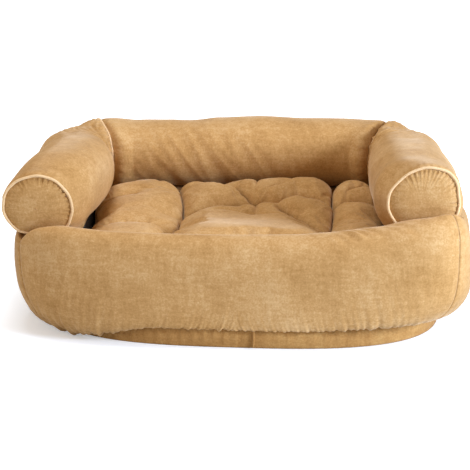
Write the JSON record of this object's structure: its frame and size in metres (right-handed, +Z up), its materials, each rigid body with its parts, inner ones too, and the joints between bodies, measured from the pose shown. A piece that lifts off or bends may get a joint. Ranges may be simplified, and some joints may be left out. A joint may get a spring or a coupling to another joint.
{
  "type": "dog sofa bed",
  "caption": "Sofa-style pet bed with a soft-walled base, stuffed arms and back bolsters with piping, and a lift-out tufted pillow.",
  "frame": {"origin": "centre of the footprint on the floor", "axes": "+X to the right across the width, +Y to the rear, +Z up; the open front faces -Y"},
  "size_m": [0.9268, 0.6376, 0.354],
  "materials": {
    "suede": "brushed microsuede, soft nap",
    "suede_dark": "brushed microsuede, nap the other way",
    "piping": "bias-cut microsuede over cord",
    "lining": "plain woven lining",
    "bottom_cloth": "coated woven polyester",
    "foam": "open-cell foam",
    "fibre": "loose polyester fibre",
    "zip_tape": "woven tape with a nylon coil",
    "zip_metal": "antique brass"
  },
  "bodies": {
    "base": {"bottom_panel": "bottom_cloth", "band": "suede_dark", "band_seam_tab": "piping", "base_foam": "foam", "seat_foam": "foam", "seat_lining": "lining", "wall_fill": "fibre", "front_wall_cover": "suede", "rear_wall_cover": "suede", "left_arm_cover": "suede", "left_arm_front_cap": "suede", "left_arm_rear_cap": "suede", "left_arm_piping": "piping", "left_arm_fill": "fibre", "left_arm_zip": "zip_tape", "right_arm_cover": "suede", "right_arm_front_cap": "suede", "right_arm_rear_cap": "suede", "right_arm_piping": "piping", "right_arm_fill": "fibre", "right_arm_zip": "zip_tape", "back_cover": "suede", "back_left_cap": "suede", "back_right_cap": "suede", "back_left_piping": "piping", "back_right_piping": "piping", "back_fill": "fibre", "back_zip": "zip_tape"},
    "pillow": {"pillow_top": "suede", "pillow_bottom": "suede", "pillow_fill": "fibre", "tuft_ties": "suede_dark", "pillow_zip": "zip_tape"},
    "left_arm_slider": {"left_arm_slider": "zip_metal"},
    "left_arm_pull": {"left_arm_pull": "zip_metal"},
    "right_arm_slider": {"right_arm_slider": "zip_metal"},
    "right_arm_pull": {"right_arm_pull": "zip_metal"},
    "back_slider": {"back_slider": "zip_metal"},
    "back_pull": {"back_pull": "zip_metal"},
    "pillow_slider": {"pillow_slider": "zip_metal"}
  },
  "joints": [
    {"name": "pillow_lift", "type": "slide", "parent": "base", "child": "pillow", "axis": [0, 0, 1], "range_m": [0, 0.3]},
    {"name": "left_arm_zip_run", "type": "slide", "parent": "base", "child": "left_arm_slider", "axis": [0, -1, 0], "range_m": [0, 0.216]},
    {"name": "left_arm_pull_swing", "type": "hinge", "parent": "left_arm_slider", "child": "left_arm_pull", "pos_m": [-0.45624, 0.04647, 0.24625], "axis": [0.4226, 0, -0.9063], "range_deg": [0, 180]},
    {"name": "right_arm_zip_run", "type": "slide", "parent": "base", "child": "right_arm_slider", "axis": [0, -1, 0], "range_m": [0, 0.216]},
    {"name": "right_arm_pull_swing", "type": "hinge", "parent": "right_arm_slider", "child": "right_arm_pull", "pos_m": [0.45624, 0.04647, 0.24625], "axis": [0.4226, 0, 0.9063], "range_deg": [0, 180]},
    {"name": "back_zip_run", "type": "slide", "parent": "base", "child": "back_slider", "axis": [1, 0, 0], "range_m": [0, 0.306]},
    {"name": "back_pull_swing", "type": "hinge", "parent": "back_slider", "child": "back_pull", "pos_m": [-0.153, 0.31124, 0.24625], "axis": [0, 0.4226, 0.9063], "range_deg": [0, 180]},
    {"name": "pillow_zip_run", "type": "slide", "parent": "pillow", "child": "pillow_slider", "axis": [1, 0, 0], "range_m": [0, 0.246]}
  ]
}
